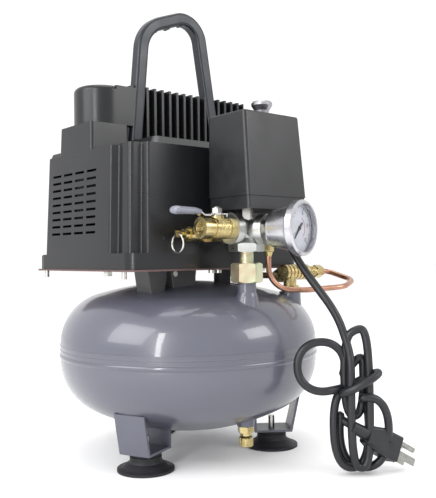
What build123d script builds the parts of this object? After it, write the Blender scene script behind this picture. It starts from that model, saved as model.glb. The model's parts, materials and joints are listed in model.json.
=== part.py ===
"""Small oil-free airbrush compressor on a pancake air tank.

Millimetres, +Z up. The pieces are laid out from the tank's vertical axis, with the gauge and
valves towards -Y and the vented end of the cover towards -X. At the end everything is moved by
ORIGIN_SHIFT, so that the origin is the centre of the footprint on the floor, cord left out.
"""
from build123d import *
import math
import os

# ---------------------------------------------------------------- driving dimensions
TANK_R = 122.0            # outside radius of the pancake tank
TANK_WALL = 2.2
UPPER_KNUCKLE, UPPER_CROWN, UPPER_TANGENT_Z = 48.0, 330.0, 103.5
LOWER_KNUCKLE, LOWER_CROWN, LOWER_TANGENT_Z = 50.8, 205.0, 90.1
SEAM_Z0, SEAM_Z1 = 92.0, 96.5      # groove between the two heads, filled by the weld bead
JOGGLE_TOP = 103.5

FOOT_CIRCLE_R = 79.3
FOOT_ANGLES = (-156.8, -36.8, 83.2)
FOOT_R, FOOT_NECK_R, FOOT_H = 25.0, 14.0, 16.0
BRACKET_T = 2.0

PLATE_X, PLATE_Y = (-106.1, 93.5), (-62.7, 109.7)
PLATE_Z, PLATE_T = 172.5, 1.5
LIP_X, LIP_Y = (-104.3, 91.7), (-61.0, 107.9)
LIP_TOP = 188.0
BODY_BACK_Y = 95.0
BODY_TOP, DECK_TOP = 281.0, 289.0
WALL = 2.4
DRAFT = 0.968             # plan scale of the main box from its bottom to its top
DRUM_X, DRUM_Y, DRUM_R = -73.0, 36.0, 26.0
DRUM_Z0, DRUM_TOP = 307.0, 343.0
BLOCK_X1, BLOCK_Y, BLOCK_TOP = 87.0, (10.0, 76.0), 345.5
RIB_PITCH, RIB_GAP, RIB_DEPTH = 8.8, 6.2, 8.0

MOTOR_Y, MOTOR_Z = 48.0, 228.0     # shaft axis, parallel to X
STATOR_HALF = 41.0
CRANK = 8.0                        # crank radius: the stroke is 16
BORE_R, PISTON_X = 16.0, 31.0

MAN_X, MAN_Y, PORT_Z = -8.0, -93.0, 208.0
GAUGE_Z = 207.0
LEVER_X = -41.0
RELIEF_Y, RELIEF_Z = -73.0, 203.5
CHECK_X, CHECK_Y, CHECK_Z = 67.5, -71.0, 168.5
DRAIN_X, DRAIN_Y = 7.0, -73.0

GAUGE_YAW = 14.5          # the gauge points this much towards +X
GAUGE_FRONT = -154.1      # frontmost point of its bezel
BEAD = 1.0
ORIGIN_SHIFT = Vector(0, -(GAUGE_FRONT + TANK_R + BEAD) / 2, 0)

CORD_D = 7.0
GLAND_X, GLAND_Y = 30.0, -96.0
CORD_ROUTE = [
    (30.4, -104.6, 201.6), (30.68, -110.64, 188.97), (31.4, -118.6, 177.5), (32.4, -128.0, 166.2),
    (34.7, -137.5, 154.5), (38.5, -146.0, 142.5), (42.3, -152.5, 129.5), (44.4, -157.0, 115.5),
    (45.2, -160.6, 104.0)]

nodes = {}


# ---------------------------------------------------------------- helpers
def keep(name, *solids):
    """Register a node: one solid, or a group of separate solids."""
    pieces = []
    for item in solids:
        pieces += list(item.solids())
    nodes[name] = pieces[0] if len(pieces) == 1 else Compound(pieces)


def rod(radius, start, end):
    """Round bar between two points."""
    start, end = Vector(*start), Vector(*end)
    axis = Plane(origin=start, z_dir=end - start)
    return axis * Cylinder(radius, (end - start).length,
                           align=(Align.CENTER, Align.CENTER, Align.MIN))


def taper(r0, r1, start, end):
    """Cone frustum between two points."""
    start, end = Vector(*start), Vector(*end)
    axis = Plane(origin=start, z_dir=end - start)
    return axis * Cone(r0, r1, (end - start).length,
                       align=(Align.CENTER, Align.CENTER, Align.MIN))


def hexbar(across_flats, start, end, turn=0.0, chamfer_by=0.0):
    """Hexagonal bar between two points, its end corners chamfered like a nut's."""
    start, end = Vector(*start), Vector(*end)
    length = (end - start).length
    corner_r = across_flats / math.sqrt(3)
    bar = extrude(RegularPolygon(corner_r, 6, rotation=turn), length)
    if chamfer_by:
        cap = Cylinder(corner_r + 1, length, align=(Align.CENTER, Align.CENTER, Align.MIN))
        top = Pos(0, 0, length - chamfer_by) * Cone(
            corner_r, corner_r - 1.6 * chamfer_by, chamfer_by,
            align=(Align.CENTER, Align.CENTER, Align.MIN))
        low = Cone(corner_r - 1.6 * chamfer_by, corner_r, chamfer_by,
                   align=(Align.CENTER, Align.CENTER, Align.MIN))
        middle = Pos(0, 0, chamfer_by) * Cylinder(
            corner_r, length - 2 * chamfer_by, align=(Align.CENTER, Align.CENTER, Align.MIN))
        bar = bar & cap & (low + middle + top)
    return Plane(origin=start, z_dir=end - start) * bar


def slab(x0, x1, y0, y1, z0, z1, corner=0.0):
    """Upright block, with rounded vertical edges if corner is given."""
    block = Pos((x0 + x1) / 2, (y0 + y1) / 2, (z0 + z1) / 2) * Box(x1 - x0, y1 - y0, z1 - z0)
    return fillet(block.edges().filter_by(Axis.Z), corner) if corner else block


def outline(points, radii, z, scale=1.0, centre=(0.0, 0.0)):
    """Closed face at height z through points, each corner rounded by its radius."""
    moved = [(centre[0] + (x - centre[0]) * scale, centre[1] + (y - centre[1]) * scale)
             for x, y in points]
    line = FilletPolyline(*moved, radius=radii, close=True)
    return Pos(0, 0, z) * make_face(line)


def round_rect(x, y, radius, z):
    """Rounded rectangle face at height z."""
    sketch = RectangleRounded(x[1] - x[0], y[1] - y[0], radius)
    return Pos((x[0] + x[1]) / 2, (y[0] + y[1]) / 2, z) * sketch


def frustum(x0, y0, z0, x1, y1, z1, radius):
    """Block with rounded vertical edges between two rectangles of different size."""
    return loft([round_rect(x0, y0, radius, z0), round_rect(x1, y1, radius, z1)], ruled=True)


def spun(points, x=0.0, y=0.0):
    """Solid of revolution about a vertical axis from (radius, z) points."""
    face = make_face(Polyline(*[(r, 0, z) for r, z in points], close=True))
    return Pos(x, y, 0) * revolve(face, Axis.Z)


# ---------------------------------------------------------------- tank
def head_profile(radius, knuckle, crown, tangent_z, end_z, up):
    """Half section of a domed head: crown arc, knuckle arc, straight flange, filled to the axis."""
    span = radius - knuckle
    angle = math.asin(span / (crown - knuckle))
    centre_z = tangent_z - up * (crown - knuckle) * math.cos(angle)

    def on_crown(a):
        return (crown * math.sin(a), 0, centre_z + up * crown * math.cos(a))

    def on_knuckle(a):
        return (span + knuckle * math.sin(a), 0, tangent_z + up * knuckle * math.cos(a))

    edge = (ThreePointArc(on_crown(0), on_crown(angle / 2), on_crown(angle))
            + ThreePointArc(on_crown(angle), on_knuckle((angle + math.pi / 2) / 2),
                            on_knuckle(math.pi / 2))
            + Polyline((radius, 0, tangent_z), (radius, 0, end_z), (0, 0, end_z), on_crown(0)))
    return make_face(edge)


def head_solid(inset, radius, knuckle, crown, tangent_z, end_z, up):
    """Filled head, shrunk by inset."""
    profile = head_profile(radius - inset, knuckle - inset, crown - inset, tangent_z, end_z, up)
    return revolve(profile, Axis.Z)


def upper_head(inset, end_z):
    return head_solid(inset, TANK_R, UPPER_KNUCKLE, UPPER_CROWN, UPPER_TANGENT_Z, end_z, 1)


def lower_head(inset, end_z):
    return head_solid(inset, TANK_R, LOWER_KNUCKLE, LOWER_CROWN, LOWER_TANGENT_Z, end_z, -1)


def make_tank():
    upper = upper_head(0, SEAM_Z1) - upper_head(TANK_WALL, SEAM_Z1)
    joggle_r = TANK_R - TANK_WALL
    cavity_r = joggle_r - TANK_WALL
    lower = lower_head(0, SEAM_Z0) - lower_head(TANK_WALL, SEAM_Z0)
    ring = spun([(cavity_r, SEAM_Z0 - 3), (joggle_r, SEAM_Z0 - 3), (joggle_r, JOGGLE_TOP),
                 (cavity_r, JOGGLE_TOP)])
    lower = lower + (ring - spun([(cavity_r - 9, SEAM_Z0 - 4), (cavity_r, SEAM_Z0 - 4),
                                  (cavity_r, JOGGLE_TOP + 1), (cavity_r - 9, JOGGLE_TOP + 1)]))
    bead_face = make_face(
        Polyline((TANK_R, 0, SEAM_Z1), (joggle_r, 0, SEAM_Z1), (joggle_r, 0, SEAM_Z0),
                 (TANK_R, 0, SEAM_Z0))
        + ThreePointArc((TANK_R, 0, SEAM_Z0), (TANK_R + BEAD, 0, (SEAM_Z0 + SEAM_Z1) / 2),
                        (TANK_R, 0, SEAM_Z1)))
    bead = revolve(bead_face, Axis.Z)

    filled = upper_head(0, SEAM_Z1)
    manifold_bung = spun([(5, 130), (13, 130), (9.2, 150), (8, 153), (8, 161.5), (5, 161.5)],
                         MAN_X, MAN_Y)
    check_bung = spun([(5, 130), (11, 130), (10, 150.5), (5, 150.5)], CHECK_X, CHECK_Y)
    drain_bung = spun([(3, 32.4), (8, 32.4), (9.5, 50), (3, 50)], DRAIN_X, DRAIN_Y)
    bungs = [manifold_bung - filled, check_bung - filled, drain_bung - lower_head(0, SEAM_Z0)]
    for z in (98.6, 102.9):          # two faint rolled ridges above the seam
        upper += spun([(121, z), (TANK_R + 0.45, z + 0.3), (TANK_R + 0.45, z + 1.5), (121, z + 1.8)])
    upper -= rod(5, (MAN_X, MAN_Y, 100), (MAN_X, MAN_Y, 170))
    upper -= rod(5, (CHECK_X, CHECK_Y, 100), (CHECK_X, CHECK_Y, 170))
    lower -= rod(3, (DRAIN_X, DRAIN_Y, 20), (DRAIN_X, DRAIN_Y, 60))
    keep("tank_upper_head", upper)
    keep("tank_lower_head", lower)
    keep("tank_welded_fittings", bead, *bungs)


# ---------------------------------------------------------------- feet
def make_feet():
    below_tank = lower_head(0, SEAM_Z0)
    t = BRACKET_T
    plate_z = FOOT_H
    section = make_face(Polyline(
        (-18, 0, 46), (-18, 0, plate_z), (18, 0, plate_z), (26, 0, 52), (26 - t, 0, 52),
        (18 - t, 0, plate_z + t), (-18 + t, 0, plate_z + t), (-18 + t, 0, 46), close=True))
    strap = extrude(section, 15, both=True)
    strap -= rod(3, (0, 0, plate_z - 1), (0, 0, plate_z + t + 1))
    ring_line = 0.8
    foot = spun([
        (3, 10), (5.4, 10), (5.4, 2.2), (18, 1.2), (FOOT_R - 2, 0), (FOOT_R, 0), (FOOT_R, 2.2),
        (FOOT_R - 4, 3.4), (FOOT_NECK_R + 4, 5.4), (FOOT_NECK_R + 1, 7.2), (FOOT_NECK_R, 9.2),
        (FOOT_NECK_R, 12.6), (FOOT_NECK_R - ring_line, 13.0), (FOOT_NECK_R - ring_line, 13.8),
        (FOOT_NECK_R, 14.2), (FOOT_NECK_R, FOOT_H), (3, FOOT_H)])
    stud = rod(3, (0, 0, 8), (0, 0, 29)) + hexbar(9.0, (0, 0, 6.0), (0, 0, 10))
    brackets, feet, studs = [], [], []
    for angle in FOOT_ANGLES:
        place = Rot(0, 0, angle) * Pos(FOOT_CIRCLE_R, 0, 0)
        brackets.append(place * strap - below_tank)
        feet.append(place * foot)
        studs.append(place * stud)
    keep("foot_brackets", *brackets)
    keep("rubber_feet", *feet)
    keep("foot_studs", *studs)


# ---------------------------------------------------------------- plate and its supports
def make_plate():
    """Base plate with its supports; returns the cover's corner bolt places and all fasteners."""
    plate = extrude(round_rect(PLATE_X, PLATE_Y, 7, PLATE_Z), PLATE_T)
    tube_hole = rod(6, (CHECK_X, 22, PLATE_Z - 1), (CHECK_X, 22, PLATE_Z + 3))
    vents = [slab(x, x + 8, 20, 60, PLATE_Z - 1, PLATE_Z + 3, 3.5) for x in (-44, -28, -12, 4)]
    tank_top = upper_head(0, SEAM_Z1)
    saddles = []
    for x0, x1, y0, y1 in ((-72, -51, -36, -14), (-47, -18, -36, -14),
                           (10, 38, 72, 96), (41, 64, 72, 96)):
        wide = frustum((x0 + 5, x1 - 5), (y0, y1), 140, (x0, x1), (y0, y1), PLATE_Z, 0.8)
        hollow = frustum((x0 + 7, x1 - 7), (y0 + 2, y1 + 9), 140,
                         (x0 + 2, x1 - 2), (y0 + 2, y1 + 9), PLATE_Z - 2, 0.8)
        saddles.append(wide - hollow - tank_top)
    motor_rails = [slab(-56, -14, MOTOR_Y + dy, MOTOR_Y + dy + 8, PLATE_Z + PLATE_T,
                        MOTOR_Z - STATOR_HALF) for dy in (-36, 28)]
    keep("support_brackets", *saddles, *motor_rails)
    isolators = [rod(8, (x, y, 150), (x, y, PLATE_Z)) - tank_top
                 for x, y in ((21, -26), (42, 55))]
    keep("rubber_isolators", *isolators)

    bolts = []
    corner_bolts = [(-98, 102), (-98, -39), (85, 102), (85, -39)]
    for x, y in corner_bolts:
        bolts.append(rod(2.2, (x, y, PLATE_Z - 6.5), (x, y, PLATE_Z + PLATE_T + 6)))
        plate -= rod(2.2, (x, y, PLATE_Z - 1), (x, y, PLATE_Z + 3))
    for x, y in ((-98, -13), (85, -13)):
        bolts.append(hexbar(7, (x, y, PLATE_Z - 4), (x, y, PLATE_Z), chamfer_by=0.5))
    for x, y in ((-16, -55), (-8, -55)):
        bolts.append(rod(2.8, (x, y, PLATE_Z - 3), (x, y, PLATE_Z)))
    bolts.append(rod(2.4, (-43.6, -38, 169.3), (-43.6, -36, 169.3)))
    for hole in [tube_hole, *vents]:
        plate -= hole
    keep("base_plate", plate)
    return corner_bolts, bolts


# ---------------------------------------------------------------- cover and handle
FLUTE = ((0, 35.5, 3), (7, 31.5, 2), (7, 22.5, 2), (3, 20.5, 3), (3, 8, 4), (14, 8, 2), (16, 0, 2.5))


def fluted_box():
    """Main box of the cover: tapered, each front corner a rounded column between two grooves."""
    x0, x1 = LIP_X
    y0, y1 = LIP_Y[0], BODY_BACK_Y
    path = []
    for x_edge, side, forward in ((x0, 1, True), (x1, -1, False)):
        corner = [(x_edge + side * u, y0 + v, r) for u, v, r in FLUTE]
        path += corner if forward else corner[::-1]
    path += [(x1, y1, 6), (x0, y1, 6)]
    points = [(x, y) for x, y, _ in path]
    radii = [r for _, _, r in path]
    centre = ((x0 + x1) / 2, (y0 + y1) / 2)
    return loft([outline(points, radii, LIP_TOP, 1.0, centre),
                 outline(points, radii, BODY_TOP, DRAFT, centre)], ruled=True)


def inner_box():
    """Hollow of the main box: two crossing tapered blocks that stay inside the fluted corners."""
    x0, x1 = LIP_X
    y0, y1 = LIP_Y[0], BODY_BACK_Y
    shrink_x, shrink_y = (x1 - x0) * (1 - DRAFT) / 2, (y1 - y0) * (1 - DRAFT) / 2
    low, high = LIP_TOP - WALL - 0.5, BODY_TOP - WALL
    hollow = None
    for inset_x, inset_y in ((WALL, 38), (WALL + 17, WALL), (WALL + 7, WALL + 9)):
        xs, ys = (x0 + inset_x, x1 - inset_x), (y0 + inset_y, y1 - inset_y)
        xt, yt = (xs[0] + shrink_x, xs[1] - shrink_x), (ys[0] + shrink_y, ys[1] - shrink_y)
        block = frustum(xs, ys, low, xt, yt, high, 2)
        hollow = block if hollow is None else hollow + block
    return hollow


def make_handle():
    """Arch of rounded bar, wider at its foot, with finger bumps under the grip."""
    width, y0, y1 = 12.0, 9.0, 21.0
    arch = FilletPolyline((-51, 292), (-40.5, 403), (24, 428), (46.5, 292), radius=[32, 22])
    ribbon = trace(arch, line_width=width)
    bar = extrude(Plane.XZ * ribbon, -(y1 - y0))
    bar = Pos(0, y0 - bar.bounding_box().min.Y, 0) * bar
    bar = fillet(bar.edges().filter_by(Axis.Y, reverse=True), 2.8)
    for x, z in ((-27.5, 403.6), (-12.5, 409.4), (3.5, 415.6)):
        bar += rod(3.4, (x, y0 + 3.4, z), (x, y1 - 3.4, z))
    return bar


def make_cover(corner_bolts, bolts):
    shell = slab(*LIP_X, *LIP_Y, PLATE_Z + PLATE_T, LIP_TOP, 12) + fluted_box()
    # deck, tier and pedestal above the main box
    shell += frustum((-77, 84), (-54, 90), BODY_TOP, (-70, 78), (-46, 84), DECK_TOP, 5)
    tier = frustum((-101.1, -60), (9, 68), BODY_TOP - 2, (-100.3, -60), (10, 67), DRUM_Z0, 3)
    rear = frustum((-100.8, -60), (60, 91), BODY_TOP - 2, (-99, -60), (60, 88), 285, 4)
    shell += tier + rear
    shell += rod(DRUM_R - 4, (DRUM_X, DRUM_Y, BODY_TOP - 2), (DRUM_X, DRUM_Y, DRUM_Z0 + 1))
    # ribbed block with its round left end
    drum = rod(DRUM_R, (DRUM_X, DRUM_Y, DRUM_Z0), (DRUM_X, DRUM_Y, DRUM_TOP))
    drum = fillet(drum.edges().group_by(Axis.Z)[-1], 5)
    block = slab(-56, BLOCK_X1, *BLOCK_Y, BODY_TOP - 2, BLOCK_TOP, 5)
    neck = slab(DRUM_X, -50, DRUM_Y - DRUM_R, DRUM_Y + DRUM_R, DRUM_Z0, DRUM_TOP)
    neck = neck + slab(DRUM_X, -50, DRUM_Y - DRUM_R + 4, DRUM_Y + DRUM_R - 4, BODY_TOP, DRUM_TOP)
    shell += drum + neck + block

    # hollow
    shell -= slab(LIP_X[0] + WALL, LIP_X[1] - WALL, LIP_Y[0] + WALL, LIP_Y[1] - WALL,
                  PLATE_Z, LIP_TOP - WALL, 10)
    low = slab(LIP_X[0] + 10, LIP_X[1] - 10, LIP_Y[0] + 11, BODY_BACK_Y - 11, PLATE_Z, 200)
    shell -= low + inner_box()
    shell -= slab(-66, 74, -44, 82, 270, DECK_TOP - WALL, 4)
    front = BLOCK_Y[0] + 14
    shell -= slab(-50, BLOCK_X1 - WALL, front, BLOCK_Y[1] - WALL, 270, BLOCK_TOP - WALL, 3)
    shell -= rod(DRUM_R - 4 - WALL, (DRUM_X, DRUM_Y, 270), (DRUM_X, DRUM_Y, DRUM_Z0 + 2))
    shell -= rod(DRUM_R - WALL, (DRUM_X, DRUM_Y, DRUM_Z0 + WALL), (DRUM_X, DRUM_Y, DRUM_TOP - WALL))

    # grooves between the ribs, open at the top
    first = -45.9
    for i in range(15):
        x = first + i * RIB_PITCH
        shell -= slab(x, x + RIB_GAP, 0, BLOCK_Y[0] + RIB_DEPTH, DECK_TOP, BLOCK_TOP + 5)

    # vent slots in the left wall
    rows, columns = 9, 4
    y_first, y_last, z_first, z_last = -4.0, 82.0, 207.0, 262.0
    pitch_y = (y_last - y_first) / columns
    for row in range(rows):
        z = z_first + (z_last - z_first) * row / (rows - 1)
        for col in range(columns):
            y = y_first + pitch_y * (col + 0.5)
            shell -= slab(-110, -90, y - 8.2, y + 8.2, z - 1.1, z + 1.1)

    for x, y in corner_bolts:
        shell += rod(5, (x, y, PLATE_Z + PLATE_T), (x, y, LIP_TOP - 1)) & slab(
            LIP_X[0] + 1, LIP_X[1] - 1, LIP_Y[0] + 1, LIP_Y[1] - 1, 0, 300)
        shell -= rod(2.2, (x, y, PLATE_Z), (x, y, PLATE_Z + PLATE_T + 6))

    handle = make_handle()
    shell -= handle
    screws = []
    for x, z in ((-50.5, 300), (-49.2, 316), (45.2, 300), (42.7, 316)):
        screws.append(rod(1.8, (x, 13, z), (x, front, z)) + rod(3.6, (x, front, z), (x, front + 2, z)))
    for screw in screws:
        handle -= screw
        shell -= screw
    keep("cover", shell)
    keep("carrying_handle", handle)
    keep("cover_fasteners", *screws, *bolts)


# ---------------------------------------------------------------- motor and pump
def bladed_fan(x0, x1):
    hub = rod(10, (x0, MOTOR_Y, MOTOR_Z), (x1, MOTOR_Y, MOTOR_Z))
    blade = Pos((x0 + x1) / 2, 0, 20.5) * Rot(0, 0, 32) * Box(1.4, 15, 23)
    fan = hub
    count = 7
    for i in range(count):
        fan += Pos(0, MOTOR_Y, MOTOR_Z) * Rot(360 * i / count, 0, 0) * blade
    return fan - rod(5, (x0 - 1, MOTOR_Y, MOTOR_Z), (x1 + 1, MOTOR_Y, MOTOR_Z))


def along_shaft(radius, x0, x1, dy=0.0, dz=0.0):
    return rod(radius, (x0, MOTOR_Y + dy, MOTOR_Z + dz), (x1, MOTOR_Y + dy, MOTOR_Z + dz))


def make_motor():
    y, z = MOTOR_Y, MOTOR_Z
    half = STATOR_HALF
    stator = slab(-56, -14, y - half, y + half, z - half, z + half)
    stator = fillet(stator.edges().filter_by(Axis.X), 8) - along_shaft(24.5, -57, -13)
    ends = []
    for x0, x1 in ((-66, -56), (-14, -4)):
        coil = along_shaft(37, x0, x1) - along_shaft(26, x0 - 1, x1 + 1)
        ends.append(fillet(coil.edges().filter_by(GeomType.CIRCLE), 2.5))
    bolt_at = [(sy * 33, sz * 33) for sy in (-1, 1) for sz in (-1, 1)]
    left = slab(-74, -68, y - half, y + half, z - half, z + half)
    right = slab(-2, 5, y - half, y + half, z - half, z + half)
    left = left + along_shaft(12, -78, -68)
    right = right + along_shaft(12, -2, 9)
    left -= along_shaft(8, -80, -60)
    right -= along_shaft(8, -5, 12)
    for dy in (-1, 1):
        for dz in (-1, 1):
            gap = slab(-80, 12, y + dy * 20 - 7, y + dy * 20 + 7, z + dz * 22 - 6, z + dz * 22 + 6)
            left -= gap & slab(-75, -67, y - 90, y + 90, 0, 400)
    bolts = []
    for dy, dz in bolt_at:
        bolts.append(along_shaft(2, -76, 7, dy, dz) + along_shaft(4, -77, -74, dy, dz)
                     + along_shaft(4, 5, 8, dy, dz))
        hole = along_shaft(2, -80, 12, dy, dz)
        stator, left, right = stator - hole, left - hole, right - hole
    keep("motor_stator", stator)
    keep("stator_windings", *ends)
    keep("motor_end_bracket", left)
    keep("motor_bearings", along_shaft(8, -77, -70) - along_shaft(5.05, -78, -69),
         along_shaft(8, 0, 7) - along_shaft(5.05, -1, 8))
    keep("rotor_and_shaft", along_shaft(24, -56, -14) + along_shaft(5, -92, 22))
    keep("cooling_fan", bladed_fan(-92, -80))

    # counterweight with its crank pin, opened at the pin: the pin ends 1 mm before the rod
    disc = along_shaft(20, 12, 22) & slab(12, 22, y - 20, y + 20, z - 12, z + 20)
    disc = disc + along_shaft(10, 12, 22) - along_shaft(5, 11, 23)
    disc = disc + (along_shaft(4, 22, 26, 0, -CRANK))
    disc = disc + (along_shaft(6.5, 20, 22, 0, -CRANK) - along_shaft(5, 11, 23))
    keep("crank_counterweight", disc)

    # the right bracket carries the cylinder on an arm
    arm = slab(5, 56, y - 24, y + 24, 250, 256)
    arm += slab(-2, 5, y - 24, y + 24, 240, 256)
    arm += slab(5, 11.4, y - 24, y - 16, 236, 250) + slab(5, 11.4, y + 16, y + 24, 236, 250)
    pump_frame = right + arm
    pump_frame -= rod(19, (PISTON_X, y, 245), (PISTON_X, y, 260))
    for dy, dz in bolt_at:
        pump_frame -= along_shaft(4, 5, 12, dy, dz)
    keep("pump_frame", pump_frame)
    return bolts


def make_pump(motor_bolts):
    x, y = PISTON_X, MOTOR_Y
    pin_z = MOTOR_Z - CRANK
    piston_top = pin_z + 52
    cylinder = rod(19, (x, y, 250), (x, y, 290)) + slab(x - 22, x + 22, y - 22, y + 22, 256, 259)
    for z in range(264, 288, 5):
        cylinder += rod(22, (x, y, z), (x, y, z + 2))
    cylinder -= rod(BORE_R, (x, y, 249), (x, y, 291))
    keep("pump_cylinder", cylinder)
    piston = rod(BORE_R - 0.05, (x, y, piston_top - 10), (x, y, piston_top))
    for z in (piston_top - 7, piston_top - 4):
        piston -= rod(BORE_R + 1, (x, y, z), (x, y, z + 0.6)) - rod(15.2, (x, y, z), (x, y, z + 0.6))
    big_end = rod(12, (27, y, pin_z), (35, y, pin_z))
    shank = slab(27.5, 34.5, y - 5, y + 5, pin_z, piston_top - 9)
    link = big_end + shank - rod(4.1, (26, y, pin_z), (36, y, pin_z))
    keep("piston_and_rod", piston + link)

    keep("valve_plate", slab(x - 22, x + 22, y - 22, y + 22, 290, 293, 3)
         - rod(3, (x - 7, y, 289), (x - 7, y, 294)) - rod(3, (x + 7, y, 289), (x + 7, y, 294)))
    head = slab(x - 22, x + 22, y - 22, y + 22, 293, 318, 3)
    for i in range(5):
        fin_gap = y - 18 + 8 * i
        head -= slab(x - 30, x + 30, fin_gap, fin_gap + 4, 308, 320)
    head -= slab(x - 18, x - 2, y - 18, y + 18, 292, 304) + slab(x + 2, x + 18, y - 18, y + 18, 292, 304)
    head -= rod(3, (x + 16, y, 300), (x + 24, y, 300))
    keep("cylinder_head", head)
    head_bolts = [rod(2.6, (x + dx, y + dy, 318), (x + dx, y + dy, 321))
                  for dx in (-18.5, 18.5) for dy in (-20, 20)]
    keep("pump_bolts", *motor_bolts, *head_bolts)
    keep("intake_filter", rod(9, (x - 22, y - 12, 300), (x - 34, y - 12, 300))
         + rod(4, (x - 22, y - 12, 300), (x - 36, y - 12, 300)))


def swept_tube(points, radii, outer, inner=0.0):
    """Tube along straight runs joined by tangent arcs."""
    path = FilletPolyline(*points, radius=radii)
    plane = Plane(origin=path @ 0, z_dir=path % 0)
    section = Circle(outer) - Circle(inner) if inner else Circle(outer)
    return sweep(plane * section, path=path)


def make_air_lines():
    x, y = PISTON_X, MOTOR_Y
    out = [(x + 22, y, 300), (CHECK_X, y, 300), (CHECK_X, y - 26, 260), (CHECK_X, 22, 165),
           (CHECK_X, CHECK_Y + 18, 165)]
    keep("discharge_tube", swept_tube(out, [12, 14, 14], 3.0, 2.0))
    loop = [(25, -86, 184), (25, -86, 154), (56, -104, 153), (92, -118, 155), (120.5, -104, 160),
            (120.5, CHECK_Y, CHECK_Z), (CHECK_X + 35, CHECK_Y, CHECK_Z)]
    keep("unloader_tube", swept_tube(loop, [21, 40, 22, 14, 7], 2.5, 1.6))


# ---------------------------------------------------------------- pressure switch
SWITCH_TOP = ((-30.5, 34.0), (-117.0, -69.6))
SWITCH_LOW = ((-31.5, 38.0), (-123.0, -69.6))
SWITCH_Z = (223.6, 234.5, 305.6)


def blend_range(a, b, share, inset=0.0):
    return (a[0] + (b[0] - a[0]) * share + inset, a[1] + (b[1] - a[1]) * share - inset)


def make_switch():
    z0, z1, z2 = SWITCH_Z
    share = (z2 - z1) / (z2 - z0)
    mid = [blend_range(SWITCH_TOP[i], SWITCH_LOW[i], share) for i in (0, 1)]
    cover = frustum(*mid, z1, *SWITCH_TOP, z2, 3.0)
    cover = fillet(cover.edges().group_by(Axis.Z)[-1], 2.0)
    inner_low = [blend_range(r, r, 0, 2.2) for r in mid]
    inner_top = [blend_range(r, r, 0, 2.2) for r in SWITCH_TOP]
    cover -= frustum(*inner_low, z1 - 0.01, *inner_top, z2 - 2.4, 1.5)
    knob_x, knob_y = 20.0, -85.0
    cover -= rod(4.05, (knob_x, knob_y, z2 - 10), (knob_x, knob_y, z2 + 5))
    base_top = [blend_range(r, r, 0, 0.8) for r in mid]
    base_low = [blend_range(r, r, 0, 0.8) for r in SWITCH_LOW]
    base = frustum(*base_low, z0, *base_top, z1, 3.0)
    tray_low = [blend_range(r, r, 0, 4.0) for r in SWITCH_LOW]
    base -= frustum(*tray_low, z0 + 3, *[blend_range(r, r, 0, 4.0) for r in mid], z1 + 0.01, 2.0)
    base -= rod(5, (GLAND_X, GLAND_Y, z0 - 1), (GLAND_X, GLAND_Y, z0 + 4))
    keep("switch_cover", cover)
    keep("switch_base", base)
    knob = spun([(0, z2 - 9), (4, z2 - 9), (4, z2 + 0.4), (6.0, z2 + 0.6), (5.6, z2 + 5), (6.6, z2 + 9),
                 (9.4, z2 + 13.5), (9.6, z2 + 15.5), (8.6, z2 + 17), (0, z2 + 17)], knob_x, knob_y)
    keep("switch_knob", knob)
    contacts = slab(6, 32, -104, -75, z0 + 3, z0 + 26) - rod(
        6, (knob_x, knob_y, 230), (knob_x, knob_y, 310))
    keep("switch_contacts", contacts)
    diaphragm = rod(13, (MAN_X, MAN_Y, z0 + 3), (MAN_X, MAN_Y, z0 + 10))
    diaphragm += rod(3, (MAN_X, MAN_Y, z0 + 10), (MAN_X, MAN_Y, z0 + 42))
    keep("switch_diaphragm", diaphragm + rod(10, (MAN_X, MAN_Y, z0 + 39), (MAN_X, MAN_Y, z0 + 42)))
    turns, wire, coil_r = 5, 1.0, 7.0
    helix = Pos(MAN_X, MAN_Y, z0 + 12) * Helix(5.0, turns * 5.0, coil_r)
    section = Plane(origin=helix @ 0, z_dir=helix % 0) * Circle(wire)
    switch_spring = sweep(section, path=helix)
    keep("cord_gland", rod(5, (GLAND_X, GLAND_Y, z0), (GLAND_X, GLAND_Y, z0 + 3))
         + rod(8, (GLAND_X, GLAND_Y, z0 - 5), (GLAND_X, GLAND_Y, z0))
         + taper(5.0, 6.6, CORD_ROUTE[0], (GLAND_X, GLAND_Y, z0 - 4)))
    return switch_spring


# ---------------------------------------------------------------- manifold and valves
def gauge_plane():
    """Frame of the gauge: Z outwards along its axis from the manifold, X to its right."""
    yaw = math.radians(GAUGE_YAW)
    return Plane(origin=(MAN_X, MAN_Y, GAUGE_Z), x_dir=(math.cos(yaw), math.sin(yaw), 0),
                 z_dir=(math.sin(yaw), -math.cos(yaw), 0))


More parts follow.
